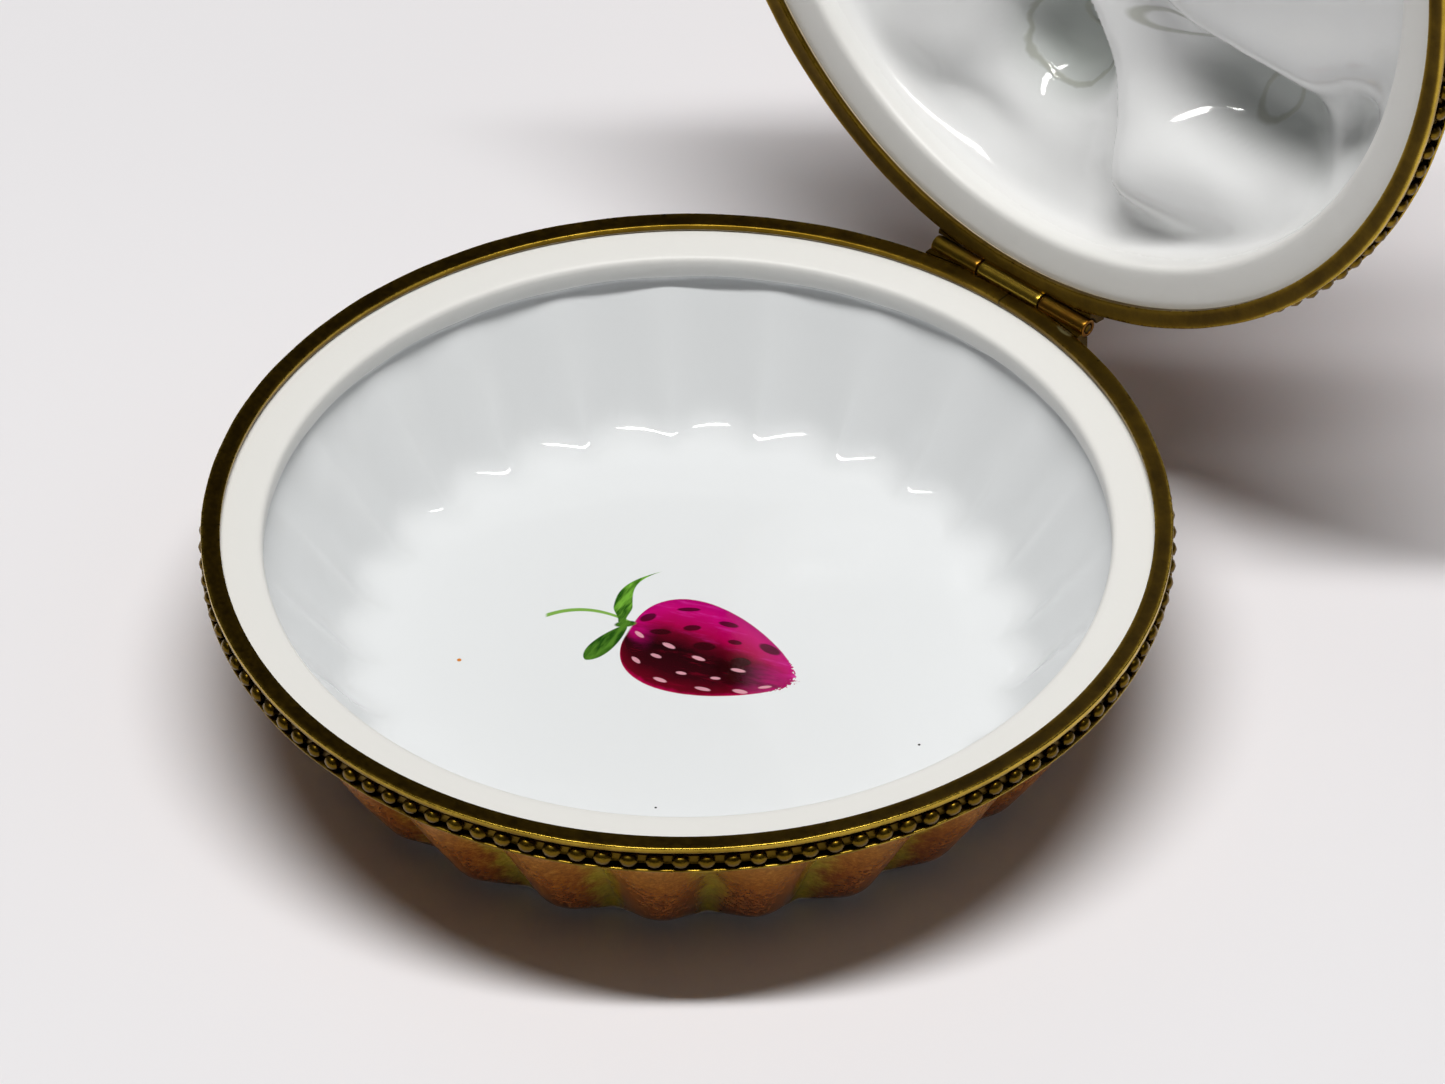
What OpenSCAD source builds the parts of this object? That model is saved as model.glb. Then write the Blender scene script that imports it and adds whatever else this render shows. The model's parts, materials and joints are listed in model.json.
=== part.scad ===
// Round porcelain trinket box in the shape of a fluted tart, with brass mounts.
// +Z is up, +Y points to the hinge. The origin is the centre of the flat underside.
// The lid is drawn closed in its own modules, then swung open by open_lid().

/* [Box] */
// Inner radius of the brass mounts, where the metal meets the white rim
mount_inner_r = 30.6; // [30.6:0.4:31]
// Angle of the open lid from closed
open_angle = 99.4; // [90:0.1:100]

/* [Porcelain] */
// Number of flutes round the base
flutes = 24; // [22:2:24]
// Wall thickness of the lid under the berries
lid_wall = 2; // [1.9:0.1:2.2]
// Height of the bowl's floor above the table
floor_z = 2.9; // [2.7:0.1:3.1]
// Number of berries in the lid's outer ring
ring_berries = 7; // [6:1:7]

/* [Brass] */
// Radial width of the mounts' flat edge
mount_width = 1.3; // [1.25:0.05:1.35]
// Number of beads round a full mount
beads = 118; // [110:1:118]
// Outer radius of the hinge tubes
tube_r = 0.65; // [0.62:0.01:0.68]
// Length of the whole hinge
hinge_length = 13.4; // [12.8:0.1:14]
// Length of the lid's middle knuckle
middle_length = 5.3; // [5:0.1:5.6]

/* [Hidden] */

$fn = 96;
meet_z = 14;                                 // height of the plane where base and lid meet
seam_gap = 0.05;                             // each mount stops this far from the meeting plane
mount_outer_r = mount_inner_r + mount_width; // 31.9
wall_inner_r = mount_inner_r + 0.3;          // inside of the mount's upright wall
wall_outer_r = mount_outer_r - 0.65;         // outside of it, behind the beads
flange_t = 0.4;                              // thickness of the flat top edge
cement_t = 0.15;
rim_r = wall_inner_r - cement_t;             // outside of the porcelain inside a mount
rim_drop = seam_gap + flange_t + cement_t;   // porcelain rim below the meeting plane
rim_z = meet_z - rim_drop;
rim_inner_r = mount_inner_r - 2.8;           // inner edge of the white rim
rim_lip = 1.6;                               // height of that edge's upright face
mount_height = 2.1;                          // meeting plane to a mount's lower edge
bead_r = 0.47;
bead_row_r = wall_outer_r + 0.51;            // radius of the row of bead centres
bead_drop = 1.35;                            // meeting plane to that row
hinge_y = mount_outer_r + 0.4;               // hinge axis, at the height of the meeting plane
pin_r = 0.35;
running_gap = 0.05;                          // pin in the lid's knuckle
turning_gap = 0.13;                          // metal round the other part's knuckles
leaf_half_angle = asin(hinge_length / 2 / mount_outer_r) + 0.6;
clasp_half_angle = 4.8;
leaf_depth = 1.5;

// ---- shared shapes -------------------------------------------------------

// swings what is drawn closed about the hinge axis
module open_lid() {
    translate([0, hinge_y, meet_z]) rotate([-open_angle, 0, 0])
        translate([0, -hinge_y, -meet_z]) children();
}

// turns a base mount shape into its mirror image above the meeting plane
module above() {
    translate([0, 0, 2 * meet_z]) mirror([0, 0, 1]) children();
}

// a length of tube or rod along the hinge axis, centred on x
module on_axis(x, length, r) {
    translate([x - length / 2, hinge_y, meet_z]) rotate([0, 90, 0]) cylinder(h = length, r = r);
}

outer_length = (hinge_length - middle_length) / 2 - 0.1;
outer_x = hinge_length / 2 - outer_length / 2;

// spaces for the knuckles: own ones fit close, the other part's turn freely
module knuckle_spaces(middle_is_own) {
    on_axis(0, middle_length + 0.2, middle_is_own ? tube_r : tube_r + turning_gap);
    for (side = [-1, 1])
        on_axis(side * (outer_x + 0.5), outer_length + 1, middle_is_own ? tube_r + turning_gap : tube_r);
}

// upright wall with a flat edge turned in over the rim, and a lip below the beads
module mount_ring(middle_is_own) {
    top = meet_z - seam_gap;
    bottom = meet_z - mount_height;
    difference() {
        rotate_extrude() polygon([
            [wall_inner_r, bottom], [mount_outer_r, bottom], [mount_outer_r, bottom + 0.14],
            [wall_outer_r, bottom + 0.22], [wall_outer_r, top - 0.65], [mount_outer_r, top - 0.45],
            [mount_outer_r, top - 0.12], [mount_outer_r - 0.12, top], [mount_inner_r + 0.06, top],
            [mount_inner_r, top - 0.06], [mount_inner_r, top - flange_t], [wall_inner_r, top - flange_t]]);
        knuckle_spaces(middle_is_own);
    }
}

// row of beads on a thin band, left open at the hinge and, on the lid, at the clasp
module bead_ring(skip_clasp) {
    z = meet_z - bead_drop;
    for (k = [0 : beads - 1]) {
        a = 90 + (k + 0.5) * 360 / beads;
        off_hinge = a - 90 > leaf_half_angle + 0.9 && 450 - a > leaf_half_angle + 0.9;
        off_clasp = !skip_clasp || abs(a - 270) > clasp_half_angle + 0.9;
        if (off_hinge && off_clasp)
            rotate([0, 0, a]) translate([bead_row_r, 0, z]) sphere(r = bead_r, $fn = 24);
    }
    half = 180 - leaf_half_angle - clasp_half_angle;
    arcs = skip_clasp ? [[90 + leaf_half_angle, half], [270 + clasp_half_angle, half]]
                      : [[90 + leaf_half_angle, 360 - 2 * leaf_half_angle]];
    for (arc = arcs)
        rotate([0, 0, arc[0]]) rotate_extrude(angle = arc[1])
            translate([wall_outer_r, z - 0.3]) square([0.17, 0.6]);
}

// bed of cement between porcelain and brass, an L in section
module cement_ring() {
    rotate_extrude() polygon([
        [rim_r, meet_z - mount_height + 0.1], [wall_inner_r, meet_z - mount_height + 0.1],
        [wall_inner_r, meet_z - rim_drop + cement_t], [mount_inner_r + 0.1, meet_z - rim_drop + cement_t],
        [mount_inner_r + 0.1, meet_z - rim_drop], [rim_r, meet_z - rim_drop]]);
}

// flat bearer that fills the gap between the round mount and its straight knuckles
module leaf(middle_is_own) {
    difference() {
        translate([-hinge_length / 2, mount_outer_r - 1, meet_z - seam_gap - leaf_depth])
            cube([hinge_length, hinge_y - 0.1 - mount_outer_r + 1, leaf_depth]);
        translate([0, 0, meet_z - 4]) cylinder(h = 5, r = mount_outer_r, $fn = 480);
        knuckle_spaces(middle_is_own);
    }
}

module tube(x, length, bore_r) {
    difference() {
        on_axis(x, length, tube_r);
        on_axis(x, length + 1, bore_r);
    }
}

// ---- porcelain -----------------------------------------------------------

valley_low = [23.5, 1.5];
valley_top = [rim_r - 0.25, meet_z - mount_height];
ridge_out = 1.3;                             // height of a flute at the foot
flute_r = 4.3;
wall_lean = atan((valley_top[0] + 0.45 - valley_low[0] - ridge_out) / (valley_top[1] - valley_low[1]));

// one convex rib of the outside wall, leaning out with it
module rib(a, r, inset) {
    rotate([0, 0, a]) translate([valley_low[0] + ridge_out - inset, 0, valley_low[1]])
        rotate([0, wall_lean, 0]) translate([-r, 0, -8]) cylinder(h = 22, r = r);
}

module base_dish() color("ghostwhite") difference() {
    intersection() {
        union() {
            rotate_extrude() polygon([
                [0, 0], [22.4, 0], [22.9, 0.6], valley_low, valley_top,
                [rim_r, valley_top[1] + 0.1], [rim_r, rim_z], [0, rim_z]]);
            for (k = [0 : flutes - 1]) rib(90 + (k + 0.5) * 360 / flutes, flute_r, 0);
        }
        rotate_extrude() polygon([
            [0, 0], [22.4, 0], [23.4, 0.5], [valley_low[0] + ridge_out, valley_low[1]],
            [valley_top[0] + 0.45, valley_top[1]], [rim_r, valley_top[1] + 0.1], [rim_r, rim_z], [0, rim_z]]);
    }
    rotate_extrude() polygon([
        [0, floor_z], [20.6, floor_z], [21.6, floor_z + 0.35], [22.3, floor_z + 1.1],
        [rim_inner_r + 0.4, rim_z - rim_lip - 0.5], [rim_inner_r, rim_z - rim_lip], [rim_inner_r, rim_z - 0.2],
        [rim_inner_r + 0.3, rim_z + 0.1], [rim_inner_r + 0.3, meet_z + 1], [0, meet_z + 1]]);
}

berry_ring_r = 18;
berry_phase = 96;
berry_r = 5.7;

// the lid's berries: a ring of them round three higher ones
module berries() {
    for (k = [0 : ring_berries - 1]) {
        a = berry_phase + k * 360 / ring_berries;
        translate([berry_ring_r * cos(a), berry_ring_r * sin(a), meet_z + 5.6]) sphere(r = berry_r);
    }
    for (k = [0 : 2]) {
        a = berry_phase + 60 + k * 120;
        translate([5.9 * cos(a), 5.9 * sin(a), meet_z + 7.4]) sphere(r = berry_r);
    }
}

module lid_shell() color("ghostwhite") open_lid() difference() {
    union() {
        translate([0, 0, meet_z]) rotate_extrude() polygon([
            [0, rim_drop], [rim_r, rim_drop], [rim_r, mount_height - 0.1], [rim_r - 0.55, mount_height],
            [rim_r - 0.55, 3.6], [26, 6.6], [0, 8.9]]);
        berries();
    }
    translate([0, 0, meet_z]) rotate_extrude() polygon([
        [0, -1], [rim_inner_r, -1], [rim_inner_r, rim_drop + rim_lip],
        [26 + 0.8 - lid_wall * 0.2, 6.6 - lid_wall], [0, 9.1 - lid_wall]]);
}

// ---- brass ---------------------------------------------------------------

module base_cement() color("gainsboro") cement_ring();
module lid_cement() color("gainsboro") open_lid() above() cement_ring();

module base_bezel() color("darkgoldenrod") mount_ring(false);
module lid_bezel() color("darkgoldenrod") open_lid() above() mount_ring(true);

module base_bead_wire() color("goldenrod") bead_ring(false);
module lid_bead_wire() color("goldenrod") open_lid() above() bead_ring(true);

module base_hinge_leaf() color("darkgoldenrod") leaf(false);
module lid_hinge_leaf() color("darkgoldenrod") open_lid() above() leaf(true);

module base_knuckle_left() color("peru") tube(-outer_x, outer_length, pin_r);
module base_knuckle_right() color("peru") tube(outer_x, outer_length, pin_r);
module lid_knuckle() color("gold") open_lid() tube(0, middle_length, pin_r + running_gap);
module hinge_pin() color("sienna") on_axis(0, hinge_length, pin_r);

clasp_gap = 0.15;
clasp_t = 0.5;
clasp_w = 3.6;

// tongue soldered to the front of the lid's mount; it hangs over the base's beads
module clasp_tongue() color("darkgoldenrod") open_lid() {
    front = bead_row_r + bead_r + clasp_gap;
    difference() {
        union() {
            translate([-clasp_w / 2, -front - clasp_t, meet_z - 2.3]) cube([clasp_w, clasp_t, 4.4]);
            translate([-clasp_w / 2, -front, meet_z + 0.2]) cube([clasp_w, front - 31, 1.9]);
        }
        translate([0, 0, meet_z - 1]) cylinder(h = 4, r = mount_outer_r, $fn = 480);
    }
}

module clasp_ornament() color("goldenrod") open_lid() {
    front = bead_row_r + bead_r + clasp_gap + clasp_t;
    difference() {
        union() {
            translate([0, -front, meet_z + 0.5]) sphere(r = 1.5);
            translate([0, -front, meet_z + 0.5]) rotate([180, 0, 0]) cylinder(h = 2.6, r1 = 1.48, r2 = 0.5);
            translate([0, -front, meet_z - 2.1]) sphere(r = 0.5);
        }
        translate([-5, -front, meet_z - 5]) cube([10, 10, 10]);
    }
}

base_dish();
base_cement();
base_bezel();
base_bead_wire();
base_hinge_leaf();
base_knuckle_left();
base_knuckle_right();
hinge_pin();
lid_shell();
lid_cement();
lid_bezel();
lid_bead_wire();
lid_hinge_leaf();
lid_knuckle();
clasp_tongue();
clasp_ornament();
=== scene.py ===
import json
import math
import bpy
import numpy as np
from mathutils import Matrix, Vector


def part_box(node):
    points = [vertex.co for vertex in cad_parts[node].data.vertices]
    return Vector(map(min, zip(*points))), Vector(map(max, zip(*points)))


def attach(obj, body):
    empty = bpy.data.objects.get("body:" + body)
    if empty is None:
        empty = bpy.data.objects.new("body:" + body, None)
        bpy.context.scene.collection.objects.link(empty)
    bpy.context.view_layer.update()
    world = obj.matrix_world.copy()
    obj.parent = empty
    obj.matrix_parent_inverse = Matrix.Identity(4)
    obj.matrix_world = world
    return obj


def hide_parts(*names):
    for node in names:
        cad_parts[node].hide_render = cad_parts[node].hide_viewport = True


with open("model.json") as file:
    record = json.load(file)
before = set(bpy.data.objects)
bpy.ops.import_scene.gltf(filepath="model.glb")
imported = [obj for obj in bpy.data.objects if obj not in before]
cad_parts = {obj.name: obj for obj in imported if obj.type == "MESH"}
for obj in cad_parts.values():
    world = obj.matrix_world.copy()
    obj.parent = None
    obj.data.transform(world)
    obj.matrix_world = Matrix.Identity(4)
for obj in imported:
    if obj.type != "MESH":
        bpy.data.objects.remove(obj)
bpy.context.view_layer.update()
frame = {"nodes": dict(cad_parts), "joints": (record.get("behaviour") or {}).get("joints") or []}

mm = 0.001
hingeJoint = frame["joints"][0]
hingeY, hingeZ = hingeJoint["pos_m"][1] / mm, hingeJoint["pos_m"][2] / mm
openAngle = math.radians(min(hingeJoint["range_deg"]))   # closed to open, about +X
mountLow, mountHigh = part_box("base_bezel")
mountR = mountHigh[0] / mm                               # outside of the brass
meetZ = hingeZ                                           # plane where lid and base meet
weldGap = 1e-5                                           # points nearer than this are one
fluteCount = 24
fluteTurn = math.radians(7.5)                            # where the first flute's crest is
print("frame loaded, mount radius", round(mountR, 2))


# A path through corners: each corner is a short parabola between points `reach` away on both sides.
# It is then cut into `count` steps that are closer together where the path turns.
def roundedPath(corners, reach, count, turnWeight=1.2, closed=False):
    c = np.asarray(corners, float)
    reach = np.broadcast_to(np.asarray(reach, float), (len(c),))
    order = range(len(c)) if closed else range(1, len(c) - 1)
    t = np.linspace(0, 1, 9)[:, None]
    rows = [] if closed else [c[:1]]
    for i in order:
        here, back, ahead = c[i], c[i - 1], c[(i + 1) % len(c)]
        lengthBack = np.linalg.norm((back - here)[:2]) + 1e-9
        lengthAhead = np.linalg.norm((ahead - here)[:2]) + 1e-9
        start = here + (back - here) * min(reach[i] / lengthBack, 0.49)
        end = here + (ahead - here) * min(reach[i] / lengthAhead, 0.49)
        rows.append((1 - t) ** 2 * start + 2 * t * (1 - t) * here + t ** 2 * end)
    rows = np.vstack(rows + ([rows[0][:1]] if closed else [c[-1:]]))
    step = np.diff(rows[:, :2], axis=0)
    length = np.hypot(step[:, 0], step[:, 1])
    angle = np.unwrap(np.arctan2(step[:, 1], step[:, 0]))
    turn = np.abs(np.diff(angle, append=angle[-1])) + np.abs(np.diff(angle, prepend=angle[0]))
    along = np.concatenate([[0], np.cumsum(length + turnWeight * 0.5 * turn)])
    at = np.linspace(0, along[-1], count + 1 if closed else count)
    out = np.stack([np.interp(at, along, rows[:, k]) for k in range(c.shape[1])], 1)
    return out[:-1] if closed else out


# A grid of points as vertices and quads; rows run along the profile and columns round it.
def gridShape(points, wrapRows=False, wrapColumns=True, **values):
    n, m = points.shape[:2]
    i = np.arange(n if wrapRows else n - 1)[:, None]
    j = np.arange(m if wrapColumns else m - 1)[None, :]
    a, b = i * m + j, i * m + (j + 1) % m
    d, e = ((i + 1) % n) * m + j, ((i + 1) % n) * m + (j + 1) % m
    quads = np.stack([a, b, e, d], -1).reshape(-1, 4)
    data = {k: np.broadcast_to(v, (n, m)).reshape(-1) for k, v in values.items()}
    return points.reshape(-1, 3), quads, data


# The sum of triple products of the corners is six times the volume; its sign tells whether faces look outwards.
def outwards(points, quads):
    p = points - points.mean(0)
    a, b, c, d = (p[quads[:, k]] for k in range(4))
    volume = (np.cross(a, b) * c).sum() + (np.cross(a, c) * d).sum()
    return quads if volume > 0 else quads[:, ::-1]


# Several shapes as one object: equal points are merged, quads with a side of no length become triangles.
def makePiece(name, shapes, body, material, nodes=(), sharpAngle=38):
    points, quads, data, offset = [], [], {}, 0
    for p, q, values in shapes:
        cells = np.round(p / weldGap).astype(np.int64)
        _, first, inverse = np.unique(cells, axis=0, return_index=True, return_inverse=True)
        points.append(p[first])
        quads.append(inverse.reshape(-1)[outwards(p, q)] + offset)
        for k, v in values.items():
            data.setdefault(k, []).append(v[first])
        offset += len(first)
    points, quads = np.vstack(points) * mm, np.vstack(quads)
    same = np.stack([quads[:, k] == quads[:, (k + 1) % 4] for k in range(4)], 1)
    full = quads[same.sum(1) == 0]
    lean = quads[same.sum(1) == 1]
    keep = ~same[same.sum(1) == 1]
    triangles = lean[keep].reshape(-1, 3)
    loops = np.concatenate([full.reshape(-1), triangles.reshape(-1)]).astype(np.int32)
    starts = np.concatenate([np.arange(len(full)) * 4, len(full) * 4 + np.arange(len(triangles)) * 3])
    mesh = bpy.data.meshes.new(name)
    mesh.vertices.add(len(points))
    mesh.vertices.foreach_set("co", points.astype(np.float32).reshape(-1))
    mesh.loops.add(len(loops))
    mesh.loops.foreach_set("vertex_index", loops)
    mesh.polygons.add(len(starts))
    mesh.polygons.foreach_set("loop_start", starts.astype(np.int32))
    mesh.update(calc_edges=True)
    for k, v in data.items():
        mesh.attributes.new(k, "FLOAT", "POINT").data.foreach_set("value", np.concatenate(v).astype(np.float32))
    mesh.shade_smooth()
    mesh.set_sharp_from_angle(angle=math.radians(sharpAngle))
    mesh.materials.append(material)
    piece = bpy.data.objects.new(name, mesh)
    bpy.context.scene.collection.objects.link(piece)
    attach(piece, body)
    if nodes:
        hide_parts(*nodes)
    print(name, len(starts), "faces")
    return piece


# Turns points of the closed lid to where the open lid is: a rotation by the opening angle in the plane
# of depth and height, about the hinge axis.
def swing(points):
    c, s = math.cos(openAngle), math.sin(openAngle)
    y, z = points[..., 1] - hingeY, points[..., 2] - hingeZ
    return np.stack([points[..., 0], hingeY + y * c - z * s, hingeZ + y * s + z * c], -1)


# A whole shape through the same turn.
def swungShape(shape):
    return swing(shape[0]), shape[1], shape[2]


# A profile carried round the upright axis: radius times cosine, radius times sine, height.
def revolve(radius, height, angle):
    return np.stack([radius * np.cos(angle), radius * np.sin(angle), height + 0 * angle], -1)


# A box with round edges: sines and cosines of two angles raised to a small power.
def roundedBlock(centre, half, power=0.25, rows=25, columns=48):
    u = np.linspace(-math.pi / 2, math.pi / 2, rows)[:, None]
    v = np.linspace(-math.pi, math.pi, columns, endpoint=False)[None, :]

    def soft(value):
        return np.sign(value) * np.abs(value) ** power

    x = soft(np.cos(u)) * soft(np.cos(v))
    y = soft(np.cos(u)) * soft(np.sin(v))
    z = soft(np.sin(u)) + 0 * v
    return gridShape(np.stack([x, y, z], -1) * np.asarray(half) + np.asarray(centre))


# A number or colour that varies over a surface, so that shader maths reads as plain sums.
class Field:
    def __init__(self, shader, socket):
        self.shader, self.socket = shader, socket

    def math(self, operation, *values):
        return self.shader.make("ShaderNodeMath", dict(operation=operation), dict(enumerate(values))).out(0)

    def __add__(self, o): return self.math("ADD", self, o)
    def __radd__(self, o): return self.math("ADD", o, self)
    def __sub__(self, o): return self.math("SUBTRACT", self, o)
    def __rsub__(self, o): return self.math("SUBTRACT", o, self)
    def __mul__(self, o): return self.math("MULTIPLY", self, o)
    def __rmul__(self, o): return self.math("MULTIPLY", o, self)
    def __truediv__(self, o): return self.math("DIVIDE", self, o)
    def __pow__(self, o): return self.math("POWER", self, o)
    def __abs__(self): return self.math("ABSOLUTE", self)
    def least(self, o): return self.math("MINIMUM", self, o)
    def most(self, o): return self.math("MAXIMUM", self, o)

    def ease(self, low, high):          # 0 below low and 1 above high, smooth between
        return self.shader.make("ShaderNodeMapRange", dict(interpolation_type="SMOOTHSTEP"),
                                {0: self, 1: low, 2: high, 3: 0.0, 4: 1.0}).out(0)


# A material in the making; place is the point in the object's own coordinates.
class Shader:
    def __init__(self, name):
        self.material = bpy.data.materials.new(name)
        self.material.use_nodes = True
        self.tree = self.material.node_tree
        self.tree.nodes.clear()
        self.place = self.make("ShaderNodeTexCoord").out("Object")

    # one new node: its settings first, then values or links for its sockets
    def make(self, kind, settings=None, sockets=None):
        node = self.tree.nodes.new(kind)
        for key, value in (settings or {}).items():
            if key == "stops":
                ramp = node.color_ramp
                while len(ramp.elements) < len(value):
                    ramp.elements.new(1)
                for element, (position, colour) in zip(ramp.elements, value):
                    element.position, element.color = position, (*colour, 1)
            else:
                setattr(node, key, value)
        for key, value in (sockets or {}).items():
            socket = node.inputs[key]
            if isinstance(value, Field):
                self.tree.links.new(value.socket, socket)
            else:
                socket.default_value = value
        return Made(self, node)

    # cloudy values from 0 to 1, finer as the scale grows
    def noise(self, scale, detail=2, rough=0.5, vector=None):
        return self.make("ShaderNodeTexNoise", None, {"Vector": vector or self.place, "Scale": scale,
                                                      "Detail": detail, "Roughness": rough}).out(0)

    # the low colour where the mask is 0, the high one where it is 1
    def blend(self, mask, low, high):
        return self.make("ShaderNodeMix", dict(data_type="RGBA", clamp_factor=True),
                         {0: mask, 6: low, 7: high}).out(2)

    # a value that the shape stored on its points
    def attribute(self, name):
        return self.make("ShaderNodeAttribute", dict(attribute_name=name)).out("Fac")

    # the three parts of a place, in metres unless another vector is given
    def axes(self, vector=None):
        node = self.make("ShaderNodeSeparateXYZ", None, {0: vector or self.place})
        return node.out(0), node.out(1), node.out(2)

    # millimetres in a frame that lies at (x, y), turned by degrees and divided by the sizes given
    def around(self, x, y, turn, wide=1.0, high=1.0):
        return self.make("ShaderNodeMapping", dict(vector_type="TEXTURE"),
                         {"Vector": self.place, "Location": (x * mm, y * mm, 0),
                          "Rotation": (0, 0, math.radians(turn)), "Scale": (wide * mm, high * mm, 1)}).out(0)

    # a vector's length
    def size(self, vector):
        return self.make("ShaderNodeVectorMath", dict(operation="LENGTH"), {0: vector}).out("Value")

    # a normal leaned by the slope of a height, whose full step is the distance
    def bump(self, height, distance, strength=1.0):
        return self.make("ShaderNodeBump", None, {"Height": height, "Distance": distance,
                                                  "Strength": strength}).out(0)

    # the Principled shader; baseColor and its like are the sockets' names run together
    def finish(self, **sockets):
        names = {k: k[0].upper() + "".join(" " + ch if ch.isupper() else ch for ch in k[1:]) for k in sockets}
        names = {k: {"Ior": "IOR", "Specular Level": "Specular IOR Level"}.get(v, v) for k, v in names.items()}
        bsdf = self.make("ShaderNodeBsdfPrincipled", None, {names[k]: v for k, v in sockets.items()})
        self.make("ShaderNodeOutputMaterial", None, {0: bsdf.out(0)})
        return self.material


# A node just made, whose outputs are taken by name or number.
class Made:
    def __init__(self, shader, node):
        self.shader, self.node = shader, node

    def out(self, key):
        return Field(self.shader, self.node.outputs[key])


# A colour with its alpha of one.
def rgb(r, g, b):
    return (r, g, b, 1.0)


brass = dict(dark=(0.06, 0.034, 0.003), mid=(0.16, 0.094, 0.008), light=(0.68, 0.46, 0.06),
             copper=(0.3, 0.12, 0.015), gap=(0.01, 0.006, 0.001), solder=(0.3, 0.26, 0.12), rough=0.3)


# Old brass: the dark-to-bright ramp is read at wear, painted bead highlight and soft mottling; rubbed places are
# smoother.
def brassMaterial(name, brighten=0.0, copper=0.0, useWearAndHighlight=True, seam=False, relief=0.5, mottle=1.0):
    s = Shader(name)
    cloud = s.noise(420, 4, 0.6)
    fine = s.noise(2600, 3, 0.7)
    scratch = s.noise(900, 2, 0.5, s.make("ShaderNodeMapping", None,
                      {"Vector": s.place, "Scale": (1, 1, 9)}).out(0))
    # the stored value is rubbed wear, and on the beads also a painted highlight
    wornAndHighlit = s.attribute("wear") * (1.0 if useWearAndHighlight else 0.0) + brighten
    level = wornAndHighlit * 0.8 + (cloud - 0.5) * (0.5 * mottle) + (fine - 0.5) * (0.22 * mottle) + 0.05
    tint = s.make("ShaderNodeValToRGB", dict(stops=[(0.0, brass["dark"]), (0.42, brass["mid"]),
                                                    (1.0, brass["light"])]), {0: level}).out(0)
    if copper:
        tint = s.blend(cloud.ease(0.35, 0.65) * copper, tint, rgb(*brass["copper"]))
    rough = brass["rough"] + (fine - 0.5) * (0.3 * mottle) + (0.5 - wornAndHighlit.least(1)) * 0.12
    if seam:                                          # where the strip's two ends were soldered
        x, y, z = s.axes()
        onBase = 1 - z.ease(0.0141, 0.0143)
        line = (1 - abs(x - 0.0003).ease(0.00003, 0.00009)) * y.ease(0.03, 0.0305) * onBase
        blob = 1 - s.size(s.around(5.6, 31.15, -10, 0.75, 0.3)).ease(0.6, 1.1)
        tint = s.blend(line * 0.85, tint, rgb(*brass["gap"]))
        tint = s.blend(blob * onBase * (0.4 + fine), tint, rgb(*brass["solder"]))
    height = fine * 0.5 + scratch * 0.5
    return s.finish(baseColor=tint, metallic=1.0, roughness=rough.most(0.12), normal=s.bump(height, 0.00002, relief))


mountBrass = brassMaterial("agedMountBrass", seam=True)
beadBrass = brassMaterial("agedBeadBrass")
plainBrass = brassMaterial("agedPlateBrass", 0.1, 0.0, False)
outerKnuckleBrass = brassMaterial("copperyKnuckleBrass", 0.0, 0.75, relief=0.04, mottle=0.25)
middleKnuckleBrass = brassMaterial("rubbedKnuckleBrass", 0.3, relief=0.04, mottle=0.25)
claspBrass = brassMaterial("claspBrass", 0.15)


# the lid's white is lighter than the dish's white: painted light for the light that falls on the lid
glaze = dict(white=(0.765, 0.785, 0.80), paintedLightLidWhite=(0.875, 0.885, 0.89), ring=(0.79, 0.785, 0.76), rough=0.06,
             # the next colour is painted shade for the lid's deepest hollows
             pool=(0.45, 0.49, 0.46), slip=(0.4, 0.41, 0.34))

painting = dict(x=-4.9, y=-0.06, turn=42.3, berryX=-4.2, berryY=-1.72, berryTurn=18.9,
                length=12.1, width=4.6)

# dark seeds then pale seeds: along and across from the stalk, half length, half width, turn in degrees
darkSeeds = [(3.7, 1.0, 0.78, 0.2, -2), (1.0, 0.25, 0.62, 0.36, 28), (6.3, -0.55, 0.72, 0.26, -20),
             (1.8, -1.2, 0.75, 0.28, -4), (3.9, -0.85, 0.62, 0.3, 2), (4.7, -2.7, 0.8, 0.4, -10),
             (6.7, -2.35, 0.5, 0.24, -15), (9.0, -3.1, 0.85, 0.4, -38), (7.1, -4.3, 0.7, 0.42, -10)]
paleSeeds = [(0.42, -1.45, 0.42, 0.17, -50), (2.35, -2.6, 0.5, 0.2, -34), (1.5, -3.6, 0.4, 0.17, -30),
             (0.18, -4.0, 0.42, 0.17, -52), (4.3, -3.9, 0.5, 0.18, -27), (3.15, -5.35, 0.36, 0.15, -15),
             (6.9, -5.15, 0.52, 0.17, -18), (5.4, -5.9, 0.34, 0.14, -8), (1.75, -6.0, 0.5, 0.18, -28),
             (4.55, -6.95, 0.55, 0.17, -18), (7.0, -7.25, 0.52, 0.19, -16), (8.65, -6.85, 0.46, 0.13, 8)]


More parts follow.
